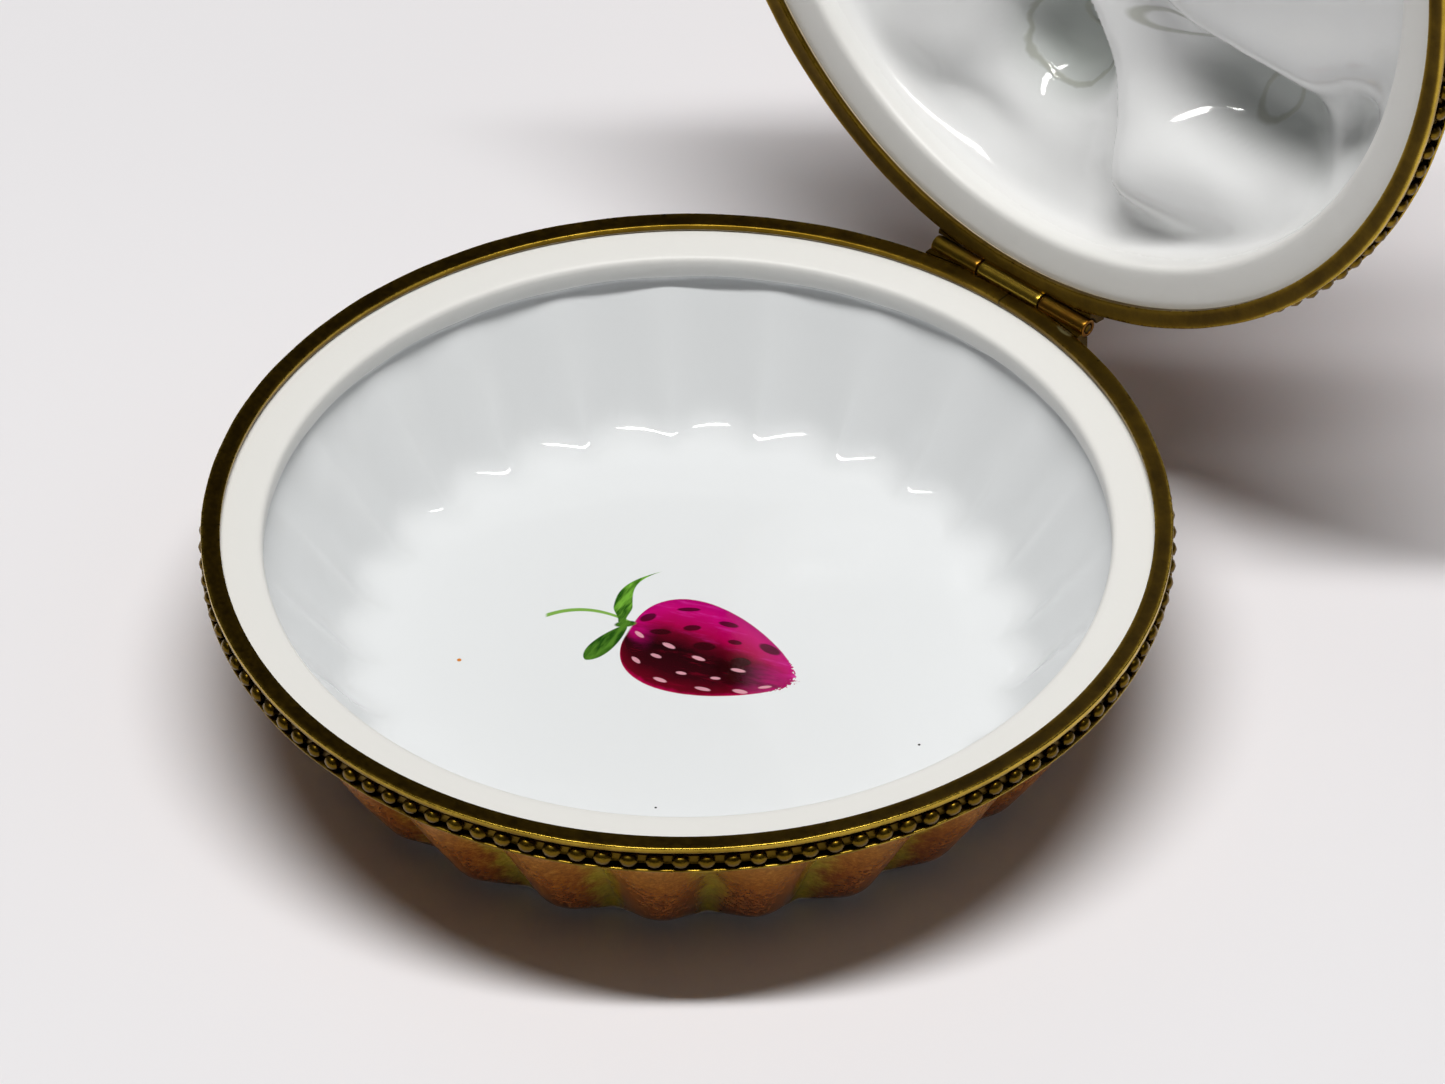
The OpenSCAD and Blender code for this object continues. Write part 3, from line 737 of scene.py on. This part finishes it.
# A strawberry: a round profile drawn out to a blunt tip, turned about its axis. Seeds sit in pits on a
# staggered lattice of rows, each pit a small bell in the radius.
def berryShape(x, y, lift, heading, dip, size=1.0):
    b = berries
    t = np.linspace(0, 1, 90)[:, None]
    turn = np.linspace(0, 2 * math.pi, 112, endpoint=False)[None, :]
    along = -b["tail"] + (b["tip"] + b["tail"]) * (0.5 - 0.5 * np.cos(math.pi * t))
    s = (along + b["tail"]) / (b["tip"] + b["tail"])
    girth = b["girth"] * np.maximum(np.sin(math.pi * np.maximum(s, 0) ** 0.72), 0) ** 0.62
    row = s * b["seedRows"]
    rowIndex = np.floor(row)
    slotAt = turn / (2 * math.pi) * b["seedsRound"] + 0.5 * (rowIndex % 2)
    du, dv = (row - rowIndex - 0.5) * 2.4, (slotAt - np.floor(slotAt) - 0.5) * 2.0
    inBody = np.clip(girth / b["girth"] * 1.6 - 0.5, 0, 1)
    far = np.hypot(du * 1.1, dv)
    pit = np.exp(-(far / 0.42) ** 2) * inBody
    seed = np.exp(-(np.hypot(du, dv * 1.7) / 0.2) ** 4) * inBody
    girth = girth * (1 + 0.03 * np.sin(turn * 3 + 1)) - b["pit"] * pit + b["seed"] * seed
    girth = np.maximum(girth, 0) * size
    cross = np.stack([girth * np.cos(turn), girth * np.sin(turn)], -1)
    along = along * size + 0 * turn
    c, q = math.cos(dip), math.sin(dip)
    forward, side, up = along * c + cross[..., 1] * q, cross[..., 0], -along * q + cross[..., 1] * c
    ch, sh = math.cos(heading), math.sin(heading)
    px, py = x + forward * ch - side * sh, y + forward * sh + side * ch
    height = np.maximum(lift + up, np.maximum(hollowHeight(px, py) + 0.8, b["floor"]) + 0.03 * up)
    return gridShape(np.stack([px, py, meetZ + height], -1), seed=seed, tipward=s)


# A leaf: a strip whose half width swells and narrows along it, with a folded middle vein, saw edge and
# drooping end; top and underside are two sheets that meet at the edge.
def leafShape(x, y, lift, heading, length, width, droop, rise=0.0, thick=0.22):
    u = np.linspace(0, 1, 26)[:, None]
    v = np.concatenate([np.linspace(-1, 1, 17), np.linspace(1, -1, 17)[1:-1]])[None, :]
    lower = np.concatenate([np.zeros(17), np.ones(15)])[None, :]
    half = width * np.maximum(np.sin(math.pi * u ** 0.8), 0) ** 0.75 * (1 + 0.07 * np.sin(u * 44))
    along, side = u * length, v * half
    up = rise * u - droop * u ** 2 + 0.35 * np.abs(v) * half / width + 0.06 * np.sin(u * 22) * np.abs(v)
    up = up + thick * (0.5 - lower) * (1 - v ** 2) ** 0.5
    ch, sh = math.cos(heading), math.sin(heading)
    px, py = x + along * ch - side * sh, y + along * sh + side * ch
    height = np.maximum(lift + up, hollowHeight(px, py) + 1.0 + 0.2 * (1 - lower))
    return gridShape(np.stack([px, py, meetZ + height], -1), vein=np.exp(-(v / 0.09) ** 2), tipward=u)


# Five small leaves round a berry's tail, spread evenly about the way it points.
def sepalShapes(x, y, lift, heading, apart, *sizes):
    return [leafShape(x, y, lift, heading + math.pi + math.radians(apart * (i - 2)), *sizes) for i in range(5)]


# Berries at equal angles on two rings, with their sepals, and a leaf in each gap of the outer ring.
def lidFruit():
    b = berries
    fruit, leaves = [], []
    for k in range(b["count"]):
        a = math.radians(b["phase"] + k * 360 / b["count"])
        x, y = b["ring"] * math.cos(a), b["ring"] * math.sin(a)
        heading = a + math.radians(112 + 16 * math.sin(k * 2.1))
        size = 1 + 0.05 * math.sin(k * 1.7)
        fruit.append(berryShape(x, y, b["lift"], heading, 0.08, size))
        tailX, tailY = x - 4.1 * size * math.cos(heading), y - 4.1 * size * math.sin(heading)
        leaves += sepalShapes(tailX, tailY, 8.0, heading, 38, 2.7, 0.75, 1.0, 0.5)
        gap = a + math.radians(180 / b["count"])
        leaves.append(leafShape(19.5 * math.cos(gap), 19.5 * math.sin(gap), 7.5, gap + 0.15, 8.0, 2.5, 1.9, 0.5))
    for k in range(b["middleCount"]):
        a = math.radians(b["phase"] + 60 + k * 360 / b["middleCount"])
        x, y = b["middleRing"] * math.cos(a), b["middleRing"] * math.sin(a)
        heading = a + 0.5
        fruit.append(berryShape(x, y, b["middleLift"], heading, 0.12, 0.95))
        tailX, tailY = x - 3.8 * math.cos(heading), y - 3.8 * math.sin(heading)
        leaves += sepalShapes(tailX, tailY, 10.2, heading, 40, 2.8, 0.8, 0.7, 0.5)
    return fruit, leaves


# Glossy red, creamy towards the tail and darker at the tip, with yellow seeds where the shape marks them.
def berryMaterial():
    s = Shader("glazedBerry")
    seed, tip = s.attribute("seed"), s.attribute("tipward")
    cloud = s.noise(350, 3, 0.6)
    red = s.blend(cloud.ease(0.3, 0.7), rgb(0.42, 0.008, 0.03), rgb(0.62, 0.02, 0.05))
    red = s.blend((1 - tip.ease(0.0, 0.22)) * 0.75, red, rgb(0.75, 0.42, 0.2))
    red = s.blend(tip.ease(0.7, 1.0) * 0.5, red, rgb(0.25, 0.0, 0.03))
    red = s.blend(seed.ease(0.35, 0.7), red, rgb(0.78, 0.55, 0.12))
    grain = s.noise(2500, 2)
    return s.finish(baseColor=red, roughness=0.12 + grain * 0.08, ior=1.5, normal=s.bump(s.noise(260, 2), 0.00008, 0.5),
                    coatWeight=0.5, coatRoughness=0.05)


# Glossy green with a paler vein down the middle and a browned tip.
def leafMaterial():
    s = Shader("glazedLeaf")
    vein, tip = s.attribute("vein"), s.attribute("tipward")
    cloud = s.noise(500, 3, 0.6)
    green = s.blend(cloud.ease(0.3, 0.7), rgb(0.035, 0.15, 0.02), rgb(0.1, 0.32, 0.04))
    green = s.blend(vein.ease(0.3, 0.9) * 0.7, green, rgb(0.35, 0.5, 0.12))
    green = s.blend(tip.ease(0.75, 1.0) * 0.4, green, rgb(0.45, 0.35, 0.05))
    return s.finish(baseColor=green, roughness=0.16 + cloud * 0.1, ior=1.5, normal=s.bump(cloud, 0.00008, 0.5),
                    coatWeight=0.4, coatRoughness=0.05)


fruitShapes, leafShapes = lidFruit()
makePiece("lidBerries", [swungShape(f) for f in fruitShapes], "lid", berryMaterial(), (), 60)
makePiece("lidLeaves", [swungShape(f) for f in leafShapes], "lid", leafMaterial(), (), 50)


clasp = dict(front=32.38, thick=0.5, width=3.6, top=2.1, bottom=2.3, bridgeBack=31.75, bridgeUp=1.15)


# The clasp's drop: a profile turned through half a turn, the flat side on the tongue, with eight soft lobes.
def claspDropShape():
    y = -(clasp["front"] + clasp["thick"])
    # radius, height about the meeting plane, wear
    corners = [(0, 1.95, 0.9), (0.85, 1.7, 0.9), (1.45, 0.7, 0.9), (1.2, -0.4, 0.7), (0.55, -1.7, 0.5),
               (0.42, -1.95, 0.2), (0.52, -2.2, 0.8), (0.35, -2.5, 0.8), (0, -2.58, 0.8)]
    path = roundedPath(corners, [0, 0.4, 0.5, 0.5, 0.2, 0.1, 0.15, 0.15, 0], 60, 0.5)[:, None, :]
    turn = np.linspace(math.pi, 2 * math.pi, 41)[None, :]
    radius = path[..., 0] * (1 + 0.05 * np.cos(16 * turn) * (path[..., 1] > -1.6))
    points = np.stack([radius * np.cos(turn), y + 0.05 + radius * np.sin(turn),
                       meetZ + 0.05 + path[..., 1] + 0 * turn], -1)
    return gridShape(points, wear=path[..., 2])


c = clasp
tongue = roundedBlock((0, -(c["front"] + c["thick"] / 2), meetZ + (c["top"] - c["bottom"]) / 2),
                      (c["width"] / 2, c["thick"] / 2, (c["top"] + c["bottom"]) / 2), 0.22, 33, 64)
bridge = roundedBlock((0, -(c["bridgeBack"] + c["front"] + 0.2) / 2, meetZ + c["bridgeUp"]),
                      (c["width"] / 2 - 0.1, 0.42, 0.9), 0.2)
for part in (tongue, bridge):
    part[2]["wear"] = np.full(len(part[0]), 0.35)
makePiece("claspTongue", [swungShape(tongue), swungShape(bridge)], "lid", claspBrass, ["clasp_tongue"])
makePiece("claspDrop", [swungShape(claspDropShape())], "lid", claspBrass, ["clasp_ornament"], 60)


# Gives a piece that came from the frame its own material.
def dress(node, material):
    piece = frame["nodes"][node]
    if not piece.material_slots:
        piece.data.materials.append(material)
    for slot in piece.material_slots:
        slot.material = material


for node in ("base_hinge_leaf", "lid_hinge_leaf"):
    dress(node, plainBrass)
for node in ("base_cement", "lid_cement"):
    dress(node, cementMaterial)
print("pieces made")


room = dict(floor=(0.86, 0.85, 0.88), world=(1.0, 0.97, 0.92), worldStrength=0.055)

floorShader = Shader("paleFloor")
paper = floorShader.noise(25, 2)
floorMaterial = floorShader.finish(
    baseColor=floorShader.blend(paper, rgb(*room["floor"]), rgb(*[v * 0.99 for v in room["floor"]])), roughness=0.85)
floorMesh = bpy.data.meshes.new("floor")
floorMesh.from_pydata([(-2, -2, 0), (2, -2, 0), (2, 2, 0), (-2, 2, 0)], [], [(0, 1, 2, 3)])
floorMesh.materials.append(floorMaterial)
floor = bpy.data.objects.new("floor", floorMesh)
bpy.context.scene.collection.objects.link(floor)

world = bpy.data.worlds.new("softRoom")
world.use_nodes = True
world.node_tree.nodes["Background"].inputs[0].default_value = rgb(*room["world"])
world.node_tree.nodes["Background"].inputs[1].default_value = room["worldStrength"]
bpy.context.scene.world = world

# angles in degrees, distance in metres, lens and target in millimetres
view = dict(azimuth=42.3, elevation=40.861, roll=-0.613, distance=1.2078, lens=459.9, target=(2.65, 0.50, 13.65))
az, el = math.radians(view["azimuth"]), math.radians(view["elevation"])
back = np.array([math.sin(az) * math.cos(el), -math.cos(az) * math.cos(el), math.sin(el)])
right = np.array([math.cos(az), math.sin(az), 0.0])
ahead = np.array([-math.sin(az), math.cos(az), 0.0])
upward = np.cross(back, right)
target = np.array(view["target"]) * mm


# right, ahead and up of the box, width and depth, watts, colour, seen in the gloss or not
lamps = dict(keyLamp=(-0.01, -0.075, 0.86, (0.74, 0.08), 7.3, (1.0, 0.99, 0.97), True),
             softFill=(0.7, -0.3, 0.8, (0.6, 0.6), 0.3, (1, 1, 1), False),
             softBack=(-0.5, 0.8, 0.7, (0.6, 0.6), 0.35, (1, 1, 1), False))


# An area lamp that looks at the box: its own three axes are the way to the box and two at right angles.
def addLamp(name, toRight, toAhead, up, size, power, colour, inGloss):
    light = bpy.data.lights.new(name, "AREA")
    light.shape, light.energy, light.color = "ELLIPSE", power, colour
    light.size, light.size_y = size
    lamp = bpy.data.objects.new(name, light)
    place = target + right * toRight + ahead * toAhead + np.array([0, 0, up])
    axisZ = (place - target) / np.linalg.norm(place - target)
    axisX = np.cross(ahead, axisZ)
    axisX = axisX / np.linalg.norm(axisX)
    axisY = np.cross(axisZ, axisX)
    turned = np.eye(4)
    turned[:3, 0], turned[:3, 1], turned[:3, 2], turned[:3, 3] = axisX, axisY, axisZ, place
    lamp.matrix_world = Matrix(turned.tolist())
    lamp.visible_glossy = inGloss
    bpy.context.scene.collection.objects.link(lamp)


for name, settings in lamps.items():
    addLamp(name, *settings)
bpy.context.scene.view_settings.view_transform = "Standard"

camera = bpy.data.cameras.new("camera")
camera.sensor_width, camera.lens = 36.0, view["lens"]
camera.clip_start, camera.clip_end = 0.05, 20
cameraObject = bpy.data.objects.new("camera", camera)
roll = math.radians(view["roll"])
axisX = right * math.cos(roll) + upward * math.sin(roll)
axisY = -right * math.sin(roll) + upward * math.cos(roll)
pose = np.eye(4)
pose[:3, 0], pose[:3, 1], pose[:3, 2], pose[:3, 3] = axisX, axisY, back, target + back * view["distance"]
cameraObject.matrix_world = Matrix(pose.tolist())
bpy.context.scene.collection.objects.link(cameraObject)
bpy.context.scene.camera = cameraObject
print("light and camera set")

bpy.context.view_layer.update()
